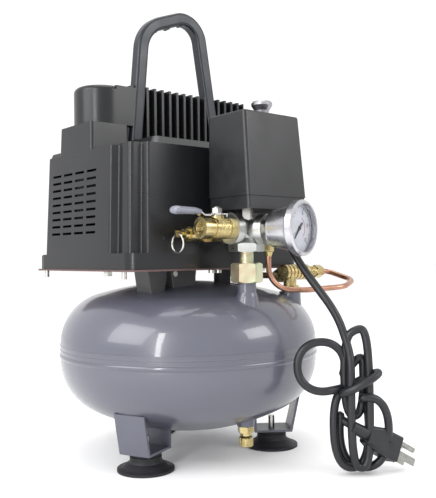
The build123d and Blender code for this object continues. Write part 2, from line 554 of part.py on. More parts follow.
def make_manifold():
    x, y = MAN_X, MAN_Y
    nut = hexbar(24, (x, y, 161.5), (x, y, 178.5), turn=20, chamfer_by=1.2)
    nut -= rod(5.85, (x, y, 170), (x, y, 180)) + rod(9, (x, y, 160), (x, y, 170))
    tail = (rod(9, (x, y, 161.5), (x, y, 170)) + rod(5.85, (x, y, 170), (x, y, 188))
            - rod(3.5, (x, y, 160), (x, y, 190)))
    keep("tank_union", nut, tail)
    outward = gauge_plane()
    body = hexbar(27, (x, y, 188), (x, y, 195.5), turn=20, chamfer_by=0.8)
    body += taper(12.5, 10, (x, y, 195.5), (x, y, 200)) + rod(10, (x, y, 200), (x, y, 212.4))
    body += rod(13.4, (x - 19, y, PORT_Z), (x - 12, y, PORT_Z)) + rod(9, (x - 13, y, PORT_Z), (x, y, PORT_Z))
    body += outward * rod(13, (0, 0, 15), (0, 0, 22)) + outward * rod(9, (0, 0, 0), (0, 0, 16))
    body += rod(7, (x, y, RELIEF_Z), (x, RELIEF_Y, RELIEF_Z))
    body += rod(8, (x - 8, RELIEF_Y, RELIEF_Z), (x + 6, RELIEF_Y, RELIEF_Z))
    body += rod(7, (x, y, PORT_Z), (25, -86, 204.5)) + rod(7.5, (25, -86, 196), (25, -86, 206))
    body += Pos(25, -86, 205) * Sphere(7.5)
    passages = rod(3.5, (x, y, 187), (x, y, 213)) + rod(4, (x - 20, y, PORT_Z), (x, y, PORT_Z))
    passages += outward * rod(4, (0, 0, 0), (0, 0, 23))
    hexa = hexbar(11, (x, y, 212.4), (x, y, SWITCH_Z[0]), turn=20) - body
    keep("manifold", body - passages)
    gauge_stem = outward * hexbar(14, (0, 0, 22), (0, 0, 26.5), turn=30, chamfer_by=0.6)
    keep("port_nipples", hexa - rod(3, (x, y, 212), (x, y, 224)), gauge_stem)


def make_gauge():
    place = gauge_plane()

    def turned(points):
        """Solid of revolution about the gauge axis from (radius, outward) points."""
        face = make_face(Polyline(*[(r, 0, out) for r, out in points], close=True))
        return place * revolve(face, Axis.Z)

    keep("gauge_case", turned([
        (0, 26.5), (13.4, 26.5), (14.9, 27.4), (15.8, 29), (16.1, 31), (19.5, 49.5), (21.9, 49.5),
        (23.2, 51), (23.2, 56.1), (21.9, 57.5), (20.1, 57.5), (20.1, 53.5), (21.6, 53.5), (21.6, 50.9),
        (18.1, 49.5), (14.6, 31), (14.2, 29.2), (0, 29.2)]))
    keep("gauge_dial", turned([(0.8, 50.9), (21.6, 50.9), (21.6, 51.5), (0.8, 51.5)]))
    keep("gauge_lens", turned([(0, 53.5), (20.1, 53.5), (20.1, 54.7), (0, 54.7)]))
    pointer = rod(1.6, (0, 0, 51.9), (0, 0, 52.8)) + rod(0.75, (0, 0, 47.5), (0, 0, 52.5))
    arm = make_face(Polyline((0, -0.75), (16, -0.25), (16, 0.25), (0, 0.75), (-6, 0.7), (-6, -0.7),
                             close=True))
    pointer += Pos(0, 0, 52.35) * Rot(0, 0, 225) * extrude(arm, 0.3, both=True)
    keep("gauge_needle", place * pointer)
    tube_path = CenterArc((0, 0), 9, 20, 230)
    section = Plane(origin=tube_path @ 0, z_dir=tube_path % 0) * Ellipse(2.4, 1.2)
    keep("bourdon_tube", place * (Pos(0, 0, 38) * sweep(section, path=tube_path)))


def make_ball_valve():
    y, z = MAN_Y, PORT_Z
    ball_r = 7.5
    outer = rod(9, (-59, y, z), (-50, y, z)) + rod(8.4, (-50, y, z), (-47, y, z))
    outer += rod(9, (-47, y, z), (-33, y, z)) + rod(8.4, (-33, y, z), (-31, y, z))
    outer += rod(9, (-31, y, z), (-27, y, z))
    outer += rod(6, (LEVER_X, y, z), (LEVER_X, y, 218.4))
    outer -= rod(5.72, (-60, y, z), (-50, y, z)) + rod(4.4, (-51, y, z), (-21, y, z))
    outer -= Pos(LEVER_X, y, z) * Sphere(ball_r + 0.05)
    outer -= rod(2.55, (LEVER_X, y, z), (LEVER_X, y, 230))
    keep("ball_valve_body", outer)
    ball = Pos(LEVER_X, y, z) * Rot(0, 0, 45) * Sphere(ball_r) - rod(4.4, (-60, y, z), (-20, y, z))
    keep("valve_ball", ball)
    stem_foot = z + 6.2
    stem = rod(2.5, (LEVER_X, y, stem_foot), (LEVER_X, y, 225.6)) - Pos(LEVER_X, y, z) * Sphere(ball_r)
    nut = hexbar(8, (LEVER_X, y, 220.4), (LEVER_X, y, 225.0), chamfer_by=0.6)
    keep("valve_stem_and_nut", stem + nut)
    strap = Plane.XZ * make_face(Polyline(
        (-34, 218.9), (-34, 217.6), (-32.6, 217.6), (-32.6, 220.4), (-46, 220.4), (-52, 219.2),
        (-57, 219.2), (-62, 222.6), (-83, 222.6), (-83, 221.2), (-61.6, 221.2), (-56.6, 217.8),
        (-51.8, 217.8), (-46, 218.9), close=True))
    strap = Pos(0, y, 0) * extrude(strap, 4, both=True)
    strap += rod(6.2, (LEVER_X, y, 218.9), (LEVER_X, y, 220.4))
    strap -= rod(2.5, (LEVER_X, y, 215), (LEVER_X, y, 230))
    keep("valve_lever", strap)
    sections = [(-60, 4.4, 2.4, 221.2), (-65, 4.9, 2.8, 221.9), (-74, 5.4, 3.1, 221.9),
                (-83.5, 6.0, 3.5, 221.9), (-86, 5.0, 2.9, 221.9), (-87.2, 2.6, 1.5, 221.9)]
    grip = loft([Plane(origin=(x, y, up), z_dir=(-1, 0, 0), x_dir=(0, 1, 0)) * Ellipse(a, b)
                 for x, a, b, up in sections], ruled=True) - strap
    keep("lever_grip", grip)


def make_relief_valve(switch_spring):
    y, z = RELIEF_Y, RELIEF_Z
    body = rod(6.5, (-34, y, z), (-16, y, z)) + hexbar(13, (-42, y, z), (-34, y, z), turn=30)
    body += rod(6.2, (-56, y, z), (-42, y, z)) + rod(4.6, (-61, y, z), (-56, y, z))
    body -= rod(3.4, (-56, y, z), (-17, y, z)) + rod(1.55, (-62, y, z), (-50, y, z))
    keep("relief_valve_body", body)
    stem = rod(1.5, (-66, y, z), (-36, y, z)) + rod(3.0, (-40, y, z), (-36, y, z))
    stem += rod(3.0, (-69, y, z), (-65, y, z)) & slab(-70, -64, y - 1.3, y + 1.3, z - 4, z + 4)
    eye = rod(1.3, (-67, y - 5, z), (-67, y + 5, z))
    keep("relief_stem", stem - eye)
    pitch, turns = 2.75, 4
    helix = Pos(-55.2, y, z) * Rot(0, 90, 0) * Helix(pitch, pitch * turns, 2.4)
    section = Plane(origin=helix @ 0, z_dir=helix % 0) * Circle(0.5)
    keep("control_springs", sweep(section, path=helix), switch_spring)
    ring_r = 7.8
    keep("relief_ring", Pos(-67, y, z - ring_r) * Rot(0, 90, 0) * Torus(ring_r, 0.85))


def make_check_valve():
    x, y, z = CHECK_X, CHECK_Y, CHECK_Z
    body = hexbar(15, (x, y, 150.5), (x, y, 156), turn=15, chamfer_by=0.6)
    body += rod(6.2, (x, y, 155.5), (x, y, z)) + rod(6.7, (x - 9, y, z), (x + 22, y, z))
    for i in range(7):
        body += rod(7.5, (x - 9 + 4.6 * i, y, z), (x - 5.8 + 4.6 * i, y, z))
    body += rod(5, (x + 20, y, z), (x + 34, y, z))
    body += hexbar(11, (x, y + 4, 165), (x, y + 18, 165), chamfer_by=0.5)
    body -= rod(3.4, (x, y, 149), (x, y, 160))
    body -= rod(4.0, (x, y, 159), (x, y, 169.5))
    body -= rod(1.8, (x + 2, y, z), (x + 35, y, z))
    body -= rod(3, (x, y + 2, 165), (x, y + 19, 165))
    keep("check_valve_body", body)
    loop_nut = hexbar(11, (x + 34, y, z), (x + 43, y, z), chamfer_by=0.6)
    ferrule = hexbar(9, (25, -86, 188), (25, -86, 196), chamfer_by=0.6)
    ferrule += taper(2.9, 4.0, (25, -86, 184), (25, -86, 188))
    keep("tube_nuts", loop_nut - rod(2.5, (x + 33, y, z), (x + 44, y, z)), ferrule)
    keep("check_poppet", rod(3.95, (x, y, 159.4), (x, y, 161.4)) + rod(1.4, (x, y, 161), (x, y, 165)))


def make_drain():
    x, y = DRAIN_X, DRAIN_Y
    keep("drain_body", hexbar(13, (x, y, 26.5), (x, y, 32.4), chamfer_by=0.6)
         + rod(5.2, (x, y, 24), (x, y, 26.5)) - rod(2.55, (x, y, 23), (x, y, 30.5)))
    knob = spun([(0, 14.2), (5.6, 14.2), (6.4, 15.0), (6.4, 21.8), (5.6, 22.8), (4.2, 23.2),
                 (2.5, 23.6), (2.5, 29.4), (0, 29.4)], x, y)
    for i in range(12):
        a = 2 * math.pi * i / 12
        knob -= rod(0.6, (x + 6.5 * math.cos(a), y + 6.5 * math.sin(a), 14),
                    (x + 6.5 * math.cos(a), y + 6.5 * math.sin(a), 22.4))
    keep("drain_knob", knob)


# ---------------------------------------------------------------- cord, hank and plug
VIEW_YAW = 40.0           # the hank stands in a plane square to this direction
HANK_AT = (50.3, -166.2)


def hank_plane():
    yaw = math.radians(VIEW_YAW)
    return Plane(origin=(HANK_AT[0], HANK_AT[1], 0), x_dir=(math.cos(yaw), -math.sin(yaw), 0),
                 z_dir=(-math.sin(yaw), -math.cos(yaw), 0))


def arc_radii(points):
    """Largest tangent arcs: 0.45 of the shorter run over the tangent of half the turn."""
    radii = []
    for a, b, c in zip(points, points[1:], points[2:]):
        u, v = Vector(*b) - Vector(*a), Vector(*c) - Vector(*b)
        turn = math.radians(u.get_angle(v))
        radii.append(0.45 * min(u.length, v.length) / math.tan(turn / 2))
    return radii


def make_cord():
    radii = arc_radii(CORD_ROUTE)
    print("cord arc radii", [round(r, 1) for r in radii])
    tube = swept_tube(CORD_ROUTE, radii, CORD_D / 2)
    path = FilletPolyline(*CORD_ROUTE, radius=radii)
    print("cord tube length", round(path.length, 1), "volume ratio",
          round(tube.volume / (path.length * math.pi * CORD_D ** 2 / 4), 4))
    keep("cord_tube", tube)
    bundle = [(-12, 113), (1, 130), (8, 127), (16, 108), (22, 96), (24, 84), (13, 75), (22, 66),
              (29, 50), (30, 34), (24, 8), (18, 0), (1, 0), (-9, 8), (-18, 30), (-27, 56),
              (-24, 66), (-44, 76), (-55, 88), (-54, 108), (-42, 118), (-26, 114), (-14, 98)]
    face = make_face(FilletPolyline(*bundle, radius=3.0, close=True))
    thickness = 20.0
    hank = extrude(hank_plane() * face, thickness / 2, both=True) - make_plug()
    keep("cord_hank", hank.solids().sort_by(SortBy.VOLUME)[-1])


def make_plug():
    """Grounded plug lying against the hank, its prongs down and a little to the front."""
    frame = hank_plane()
    start = frame.origin + frame.x_dir * 5.7 + Vector(0, 0, 34.6)
    axis = (frame.x_dir * 0.79 + frame.z_dir * 0.35 + Vector(0, 0, -0.50)).normalized()
    side = (frame.z_dir - axis * axis.dot(frame.z_dir)).normalized()
    base = Plane(origin=start, z_dir=axis, x_dir=side).rotated((0, 0, 45))
    length = 31.0
    body = loft([base * (Pos(0, 0, -16) * Circle(4.6)), base * Circle(5.6)], ruled=True)
    body += loft([base * RectangleRounded(13, 15, 3), base * (Pos(0, 0, 11) * RectangleRounded(17, 21, 2.5)),
                  base * (Pos(0, 0, length) * RectangleRounded(18, 22, 2))], ruled=True)
    keep("plug_body", body)
    blades = []
    for shift in (-1, 1):
        blades.append(base * (Pos(shift * 6.35, 3.6, length + 9.5) * Box(1.5, 6.3, 19)))
    keep("plug_prongs", *blades, base * (Pos(0, -7.4, length + 10) * Cylinder(2.3, 20)))
    return body


make_tank()
make_feet()
make_cover(*make_plate())
make_pump(make_motor())
make_air_lines()
make_relief_valve(make_switch())
make_manifold()
make_gauge()
make_ball_valve()
make_check_valve()
make_drain()
make_cord()

os.makedirs("parts", exist_ok=True)
for name, shape in nodes.items():
    export_step(Pos(*ORIGIN_SHIFT) * shape, f"parts/{name}.step")
print(len(nodes), "nodes")
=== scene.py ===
"""Looks of the airbrush compressor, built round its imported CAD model.

The CAD row's frame: +Z up, -Y towards the gauge, origin on the floor. Places are worked out in
millimetres and turned into metres with MM.
"""

import json
import math

import bmesh
import bpy
from mathutils import Matrix, Vector


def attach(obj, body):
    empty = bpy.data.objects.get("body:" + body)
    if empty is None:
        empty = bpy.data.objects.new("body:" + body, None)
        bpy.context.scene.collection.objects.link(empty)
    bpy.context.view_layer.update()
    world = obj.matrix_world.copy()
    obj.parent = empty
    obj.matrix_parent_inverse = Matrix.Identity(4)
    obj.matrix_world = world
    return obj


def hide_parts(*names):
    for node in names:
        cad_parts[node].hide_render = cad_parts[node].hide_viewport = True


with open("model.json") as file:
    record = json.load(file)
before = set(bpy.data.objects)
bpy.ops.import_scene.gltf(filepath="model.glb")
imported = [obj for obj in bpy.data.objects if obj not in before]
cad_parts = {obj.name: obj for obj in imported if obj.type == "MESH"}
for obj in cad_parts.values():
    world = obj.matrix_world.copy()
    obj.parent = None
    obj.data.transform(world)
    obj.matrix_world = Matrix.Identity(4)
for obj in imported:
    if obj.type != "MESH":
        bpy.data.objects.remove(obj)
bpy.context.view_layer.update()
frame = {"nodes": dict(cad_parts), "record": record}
NODES = frame["nodes"]
MM = 0.001
ROOT = "compressor"
SCENE = bpy.context.scene

# ---------------------------------------------------------------- driving places, millimetres
SHIFT_Y = 15.55                       # tank axis to the row's origin
MANIFOLD = (-8.0, -93.0 + SHIFT_Y)
GAUGE_YAW, GAUGE_Z = 14.5, 207.0
DIAL_OUT, DIAL_R = 51.5, 19.2         # dial's face from the manifold's axis, and its radius
CHECK_VALVE = (67.5, -71.0 + SHIFT_Y, 168.5)
CORD_D = 7.0
HANK_AT = (50.3, -166.2 + SHIFT_Y)
HANK_YAW = 40.0
CORD_ROUTE = [(x, y + SHIFT_Y, z) for x, y, z in (
    (30.4, -104.6, 201.6), (30.68, -110.64, 188.97), (31.4, -118.6, 177.5), (32.4, -128.0, 166.2),
    (34.7, -137.5, 154.5), (38.5, -146.0, 142.5), (42.3, -152.5, 129.5), (44.4, -157.0, 115.5),
    (45.2, -160.6, 104.0))]
PLUG_START = (5.7, 34.6)              # where the plug's axis starts: across and up the hank
PLUG_AXIS = (0.79, 0.35, -0.50)       # its direction: across, towards the viewer, up
PLUG_ROLL = 45.0

# The dial: its scale runs clockwise from DIAL_START
DIAL_START, DIAL_SWEEP, DIAL_STEPS = 225.0, 270.0, 50
DIAL_NUMBERS, NUMBER_HEIGHT = 6, 5.0
TICK_LIFT, INK_LIFT = 0.05, 0.04      # marks stand this far off the dial, so they show

# Camera, studio and floor, metres and degrees
CAMERA_PLACE = (-0.4219, -0.5477 + SHIFT_Y * MM, 0.1850)
CAMERA_YAW, CAMERA_PITCH, CAMERA_ROLL = 40.02, 0.54, -0.67
CAMERA_LENS, CAMERA_SENSOR = 51.42, 36.0
FLOOR_SIZE = 30
WORLD_STRENGTH = 1.12
LAMP_AIM = (0, 0, 0.2)


# ---------------------------------------------------------------- material helpers
class Paint:
    """A principled material with small helpers for procedural detail."""

    def __init__(self, name, colour, rough=0.5, metallic=0.0, **extra):
        self.mat = bpy.data.materials.new(name)
        self.mat.use_nodes = True
        self.tree = self.mat.node_tree
        self.shader = self.tree.nodes["Principled BSDF"]
        self.colour = colour
        self.set("Base Color", (*colour, 1.0))
        self.set("Roughness", rough)
        self.set("Metallic", metallic)
        for key, value in extra.items():
            self.set(key.replace("_", " ").title().replace("Ior", "IOR"), value)
        self.place = self.node("ShaderNodeTexCoord").outputs["Object"]
        self.height = None

    def set(self, socket, value):
        self.shader.inputs[socket].default_value = value

    def node(self, kind, **values):
        made = self.tree.nodes.new(kind)
        for key, value in values.items():
            if key in made.inputs:
                made.inputs[key].default_value = value
            else:
                setattr(made, key, value)
        return made

    def link(self, a, b):
        self.tree.links.new(a, b)

    def stretched(self, scale=(1, 1, 1), turn=(0, 0, 0)):
        mapping = self.node("ShaderNodeMapping")
        mapping.inputs["Scale"].default_value = scale
        mapping.inputs["Rotation"].default_value = turn
        self.link(self.place, mapping.inputs["Vector"])
        return mapping.outputs["Vector"]

    def noise(self, scale, detail=3.0, rough=0.5, coords=None):
        made = self.node("ShaderNodeTexNoise", Scale=scale, Detail=detail, Roughness=rough)
        self.link(coords or self.place, made.inputs["Vector"])
        return made.outputs["Fac"]

    def spread(self, fac, low, high, lo_in=0.3, hi_in=0.7):
        """Value from low to high as fac goes from lo_in to hi_in."""
        made = self.node("ShaderNodeMapRange")
        for socket, value in (("From Min", lo_in), ("From Max", hi_in), ("To Min", low),
                              ("To Max", high)):
            made.inputs[socket].default_value = value
        self.link(fac, made.inputs["Value"])
        return made.outputs["Result"]

    def blend(self, fac, first, second):
        made = self.node("ShaderNodeMix", data_type="RGBA")
        for socket, value in ((made.inputs[6], first), (made.inputs[7], second)):
            if isinstance(value, tuple):
                socket.default_value = (*value, 1.0)
            else:
                self.link(value, socket)
        self.link(fac, made.inputs[0])
        return made.outputs[2]

    def mottle(self, scale, amount, detail=3.0, coords=None):
        """Colour a little darker and lighter in patches."""
        dark = tuple(c * (1 - amount) for c in self.colour)
        light = tuple(min(1.0, c * (1 + amount)) for c in self.colour)
        fac = self.spread(self.noise(scale, detail, coords=coords), 0, 1)
        self.tint = self.blend(fac, dark, light)
        self.link(self.tint, self.shader.inputs["Base Color"])
        return self

    def stain(self, scale, colour, low=0.55, high=0.72, strength=1.0, detail=6.0):
        """Patches of another colour over what is there."""
        fac = self.spread(self.noise(scale, detail), 0, strength, low, high)
        base = getattr(self, "tint", self.colour)
        self.tint = self.blend(fac, base, colour)
        self.link(self.tint, self.shader.inputs["Base Color"])
        return self

    def gloss(self, scale, low, high, detail=4.0, coords=None):
        """Roughness that varies in patches."""
        fac = self.noise(scale, detail, coords=coords)
        self.link(self.spread(fac, low, high), self.shader.inputs["Roughness"])
        return self

    def bump(self, scale, depth, detail=2.0, strength=1.0, coords=None):
        """Fine relief; several calls stack up. Depth is in metres."""
        made = self.node("ShaderNodeBump", Strength=strength, Distance=depth)
        self.link(self.noise(scale, detail, coords=coords), made.inputs["Height"])
        if self.height is not None:
            self.link(self.height, made.inputs["Normal"])
        self.height = made.outputs["Normal"]
        self.link(self.height, self.shader.inputs["Normal"])
        return self


def dress(slot_or_nodes, paint):
    """Gives a finish to every CAD node of a record slot, or to the nodes named."""
    record = frame["record"]
    if isinstance(slot_or_nodes, str):
        names = [s["node"] for s in record["subparts"] if s["material_slot"] == slot_or_nodes]
    else:
        names = slot_or_nodes
    for name in names:
        mesh = NODES[name].data
        mesh.materials.clear()
        mesh.materials.append(paint.mat)


# ---------------------------------------------------------------- materials
def paints():
    """Finishes by record slot."""
    tank = Paint("tank_enamel", (0.078, 0.081, 0.107), 0.26, coat_weight=0.6, coat_roughness=0.07)
    tank.mottle(9, 0.07).gloss(14, 0.26, 0.36).bump(420, 0.00012, 2, 0.35).bump(16, 0.0016, 1, 0.25)
    bracket = Paint("bracket_enamel", (0.082, 0.085, 0.112), 0.42, coat_weight=0.2)
    bracket.mottle(30, 0.1).gloss(40, 0.36, 0.5).bump(700, 0.0001, 2, 0.4)
    # Support brackets: black paint, made darker still as painted shade for the shadow under the
    # base plate
    dark = Paint("support_black_and_painted_shade", (0.035, 0.035, 0.038), 0.45)
    dark.mottle(40, 0.15).bump(900, 0.00008, 2, 0.4)
    plate = Paint("plate_enamel", (0.085, 0.045, 0.042), 0.5)
    plate.mottle(60, 0.25).bump(900, 0.00008, 2, 0.4)
    rubber = Paint("foot_rubber", (0.013, 0.013, 0.016), 0.6, specular_ior_level=0.3)
    rubber.mottle(70, 0.3).gloss(90, 0.5, 0.74).bump(1500, 0.00012, 3, 0.5)
    zinc = Paint("zinc_steel", (0.56, 0.55, 0.52), 0.3, 1.0)
    zinc.mottle(180, 0.12).gloss(260, 0.22, 0.42).bump(1600, 0.00004, 2, 0.4)
    cover = Paint("cover_plastic", (0.0075, 0.008, 0.0095), 0.32, specular_ior_level=0.4)
    cover.mottle(24, 0.12).gloss(30, 0.26, 0.34).bump(2600, 0.00004, 2, 0.12)
    handle = Paint("handle_plastic", (0.011, 0.0125, 0.018), 0.38, specular_ior_level=0.42)
    handle.mottle(30, 0.12).gloss(50, 0.3, 0.42).bump(2600, 0.00004, 2, 0.15)
    switch = Paint("switch_plastic", (0.01, 0.0105, 0.012), 0.36, specular_ior_level=0.45)
    switch.mottle(36, 0.12).gloss(60, 0.3, 0.44).bump(2400, 0.00005, 2, 0.4)
    knob = Paint("knob_metal", (0.34, 0.34, 0.36), 0.34, 1.0)
    knob.mottle(90, 0.1).gloss(120, 0.28, 0.4).bump(1400, 0.00003, 2, 0.3)
    inner_black = Paint("inner_plastic", (0.02, 0.02, 0.022), 0.5)
    inner_black.mottle(80, 0.2).bump(1800, 0.00005, 2, 0.4)
    brass = Paint("brass", (0.5, 0.41, 0.2), 0.27, 1.0)
    brass.mottle(160, 0.14).stain(90, (0.42, 0.27, 0.1), 0.56, 0.8, 0.6)
    brass.gloss(220, 0.16, 0.36).bump(1500, 0.00006, 3, 0.45)
    copper = Paint("copper_tube", (0.42, 0.23, 0.16), 0.3, 1.0)
    copper.mottle(120, 0.14).stain(60, (0.3, 0.15, 0.09), 0.55, 0.8, 0.5)
    copper.gloss(160, 0.2, 0.42).bump(900, 0.00005, 2, 0.4)
    winding = Paint("winding_copper", (0.5, 0.22, 0.09), 0.4, 1.0)
    winding.mottle(200, 0.2).bump(1400, 0.0003, 2, 0.6, winding.stretched((1, 0.1, 0.1)))
    cast = Paint("cast_alloy", (0.5, 0.51, 0.5), 0.38, 1.0)
    cast.mottle(110, 0.1).gloss(150, 0.3, 0.5).bump(800, 0.00016, 4, 0.5)
    manifold = Paint("manifold_alloy", (0.55, 0.56, 0.54), 0.32, 1.0)
    manifold.mottle(90, 0.1).gloss(140, 0.26, 0.42).bump(700, 0.00014, 4, 0.5)
    union = Paint("union_zinc", (0.60, 0.62, 0.42), 0.34, 0.85)
    union.mottle(70, 0.08).stain(38, (0.5, 0.33, 0.24), 0.5, 0.66, 0.75, 2)
    union.gloss(120, 0.28, 0.44).bump(1300, 0.00005, 2, 0.4)
    steel = Paint("machined_steel", (0.45, 0.45, 0.46), 0.3, 1.0)
    steel.mottle(140, 0.1).bump(900, 0.00005, 2, 0.4, steel.stretched((8, 1, 1)))
    sheet = Paint("laminations", (0.2, 0.2, 0.21), 0.45, 0.9)
    sheet.mottle(60, 0.1).bump(1400, 0.0002, 0, 0.6, sheet.stretched((1, 0.02, 0.02)))
    spring = Paint("spring_steel", (0.5, 0.49, 0.46), 0.25, 1.0)
    spring.mottle(300, 0.15).gloss(300, 0.18, 0.36)
    chrome = Paint("gauge_chrome", (0.5, 0.5, 0.525), 0.26, 1.0)
    chrome.mottle(40, 0.04).gloss(60, 0.22, 0.32).bump(500, 0.00002, 2, 0.3)
    lever = Paint("lever_steel", (0.66, 0.65, 0.62), 0.18, 1.0)
    lever.mottle(150, 0.08).gloss(200, 0.12, 0.28).bump(900, 0.00003, 2, 0.3)
    dial = Paint("dial_white", (0.5, 0.51, 0.57), 0.4)
    dial.mottle(60, 0.02)
    needle = Paint("needle_black", (0.012, 0.012, 0.012), 0.4)
    needle.mottle(300, 0.2)
    grip = Paint("grip_vinyl", (0.17, 0.175, 0.215), 0.34, coat_weight=0.3, coat_roughness=0.2)
    grip.mottle(90, 0.08).gloss(90, 0.28, 0.42).bump(600, 0.0001, 2, 0.4)
    diaphragm = Paint("diaphragm_rubber", (0.03, 0.025, 0.022), 0.6)
    diaphragm.mottle(90, 0.2).bump(900, 0.0001, 2, 0.4)
    cord = Paint("cord_vinyl", (0.008, 0.0085, 0.011), 0.42, specular_ior_level=0.45)
    cord.mottle(60, 0.15).gloss(90, 0.34, 0.52).bump(900, 0.00008, 3, 0.4)
    prong = Paint("prong_metal", (0.3, 0.3, 0.28), 0.34, 1.0)
    prong.mottle(200, 0.12).gloss(300, 0.2, 0.4)
    prong.bump(900, 0.00004, 2, 0.3, prong.stretched((1, 6, 1)))
    lens = Paint("lens_glass", (1, 1, 1), 0.03, transmission_weight=1.0, ior=1.1)
    lens.gloss(30, 0.02, 0.05)
    return {
        "tank_paint": tank, "bracket_paint": bracket, "plate_paint": plate,
        "support_paint": dark, "foot_rubber": rubber, "zinc_steel": zinc,
        "cover_plastic": cover, "handle_plastic": handle,
        "laminations": sheet, "winding_copper": winding, "cast_aluminium": cast,
        "machined_steel": steel, "fan_plastic": inner_black, "switch_plastic": switch,
        "knob_metal": knob, "diaphragm_rubber": diaphragm, "spring_steel": spring,
        "union_zinc": union, "manifold_alloy": manifold, "brass": brass, "copper_tube": copper,
        "gauge_chrome": chrome, "dial_white": dial, "lens_glass": lens, "needle_black": needle,
        "valve_nickel": lever, "lever_steel": lever, "grip_vinyl": grip, "cord_vinyl": cord,
        "prong_metal": prong}


# ---------------------------------------------------------------- piece helpers
def add_piece(name, data, paint, body=ROOT):
    piece = bpy.data.objects.new(name, data)
    SCENE.collection.objects.link(piece)
    data.materials.append(paint.mat)
    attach(piece, body)
    return piece


def tube_curve(name, points, radius, kind="NURBS"):
    """Round wire along points in metres."""
    curve = bpy.data.curves.new(name, "CURVE")
    curve.dimensions = "3D"
    curve.bevel_depth = radius
    curve.bevel_resolution = 6
    curve.resolution_u = 8
    curve.use_fill_caps = True
    spline = curve.splines.new(kind)
    spline.points.add(len(points) - 1)
    for target, point in zip(spline.points, points):
        target.co = (*point, 1.0)
    if kind == "NURBS":
        spline.order_u = 3
        spline.use_endpoint_u = True
    return curve


def across(axis):
    """Two unit vectors square to an axis."""
    axis = Vector(axis).normalized()
    side = axis.cross(Vector((0, 0, 1)) if abs(axis.z) < 0.9 else Vector((1, 0, 0))).normalized()
    return axis, side, axis.cross(side)


def thread(name, start, end, radius, pitch, paint, body=ROOT, depth=0.45):
    """Thread ridge: a thin helix wound on a cylinder between two points, millimetres."""
    start, end = Vector(start), Vector(end)
    axis, side, other = across(end - start)
    length = (end - start).length
    steps = 20
    count = int(length / pitch * steps)
    points = []
    for i in range(count + 1):
        angle = 2 * math.pi * i / steps
        along = start + axis * (length * i / count)
        points.append((along + (side * math.cos(angle) + other * math.sin(angle)) * radius) * MM)
    curve = tube_curve(name, points, depth * MM, "POLY")
    curve.bevel_resolution = 2
    return add_piece(name, curve, paint, body)


# ---------------------------------------------------------------- cord
def hank_axes():
    yaw = math.radians(HANK_YAW)
    right = Vector((math.cos(yaw), -math.sin(yaw), 0))
    toward = Vector((-math.sin(yaw), -math.cos(yaw), 0))
    return Vector((*HANK_AT, 0)), right, Vector((0, 0, 1)), toward


def on_hank(u, v, w):
    """Point of the hank: across, up and towards the viewer, millimetres."""
    origin, right, up, toward = hank_axes()
    return (origin + right * u + up * v + toward * w) * MM


# Turns of the hank as parts of ovals: centre and half sizes (across, up), first and last angle in
# degrees, depth towards the viewer at the start, middle and end, and how square the oval is
# (1 is a true oval). The cord turns sharply where one turn ends and the next begins.
TURNS = [
    ((0.8, 65.2), (8.2, 58.3), 160, 440, (5.0, 3.0, -3.0), 0.62),     # down the left, up the right
    ((-3.0, 84.0), (8.4, 36.0), 100, 385, (-3.0, -5.0, -7.0), 0.8),   # shorter turn inside it
    ((-31.0, 91.5), (20.5, 20.5), -30, 280, (-6.0, 0.0, 5.0), 0.95),  # big loop on the left
    ((-6.0, 40.0), (15.0, 34.0), 125, 395, (-5.0, -1.0, -5.0), 0.8),  # lower left loop
    ((5.0, 35.5), (20.5, 31.0), 100, -205, (5.0, -6.0, -7.5), 0.85),  # lower right loop
]
WRAP_AFTER = 2                        # the wrap round the waist follows this turn
PLUG_NECK = [(-16.0, 46.5, -8.5), (-6.9, 41.6, -5.6), (-0.6, 37.6, -2.8), (4.9, 34.1, -0.4)]


def bent(value, power):
    """A cosine or sine squared off: a power below 1 flattens the oval's sides."""
    return math.copysign(abs(value) ** power, value)


def turn_points(centre, half, first, last, depths, power, spacing=22.0):
    """Part of an oval in the hank's plane, its depth drifting evenly."""
    count = max(4, int(abs(last - first) / spacing))
    points = []
    for i in range(count + 1):
        t = i / count
        angle = math.radians(first + (last - first) * t)
        a, b, c = depths
        depth = a + (b - a) * 2 * t if t < 0.5 else b + (c - b) * (2 * t - 1)
        points.append((centre[0] + half[0] * bent(math.cos(angle), power),
                       centre[1] + half[1] * bent(math.sin(angle), power), depth))
    return points


def wrap_points(count=13):
    """Most of a turn round the waist of the hank: across the front, rising, and back behind."""
    points = []
    for i in range(count):
        angle = math.radians(-150 + 300 * i / (count - 1))
        points.append((1.0 + 15.5 * math.sin(angle), 77.5 + 8.5 * math.sin(angle),
                       1.0 + 9.0 * math.cos(angle)))
    return points


def cord_points():
    """The whole run from the gland to the plug's neck, metres."""
    points = [Vector(p) * MM for p in CORD_ROUTE]
    for number, turn in enumerate(TURNS):
        points += [on_hank(*p) for p in turn_points(*turn)]
        if number == WRAP_AFTER:
            points += [on_hank(*p) for p in wrap_points()]
    return points + [on_hank(*p) for p in PLUG_NECK]


def make_cord(looks):
    """The power cord, with a bare copy of its curve turned into a mesh."""
    points = cord_points()
    curve = tube_curve("power_cord", points, CORD_D / 2 * MM)
    cord = add_piece("power_cord", curve, looks["cord_vinyl"])
    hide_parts("cord_tube", "cord_hank")
    bare = curve.copy()
    bare.bevel_depth = 0
    line = bpy.data.objects.new("measure", bare)
    SCENE.collection.objects.link(line)
    mesh = bpy.data.meshes.new_from_object(line.evaluated_get(
        bpy.context.evaluated_depsgraph_get()))
    bpy.data.objects.remove(line)


# ---------------------------------------------------------------- gauge face
def on_dial(radius, degrees, lift=0.0):
    """Point on the dial: degrees from its right, counter-clockwise as read from the front."""
    yaw, angle = math.radians(GAUGE_YAW), math.radians(degrees)
    right = Vector((math.cos(yaw), math.sin(yaw), 0))
    outward = Vector((math.sin(yaw), -math.cos(yaw), 0))
    place = Vector((*MANIFOLD, GAUGE_Z)) + outward * (DIAL_OUT + lift)
    return (place + right * radius * math.cos(angle)
            + Vector((0, 0, radius * math.sin(angle)))) * MM


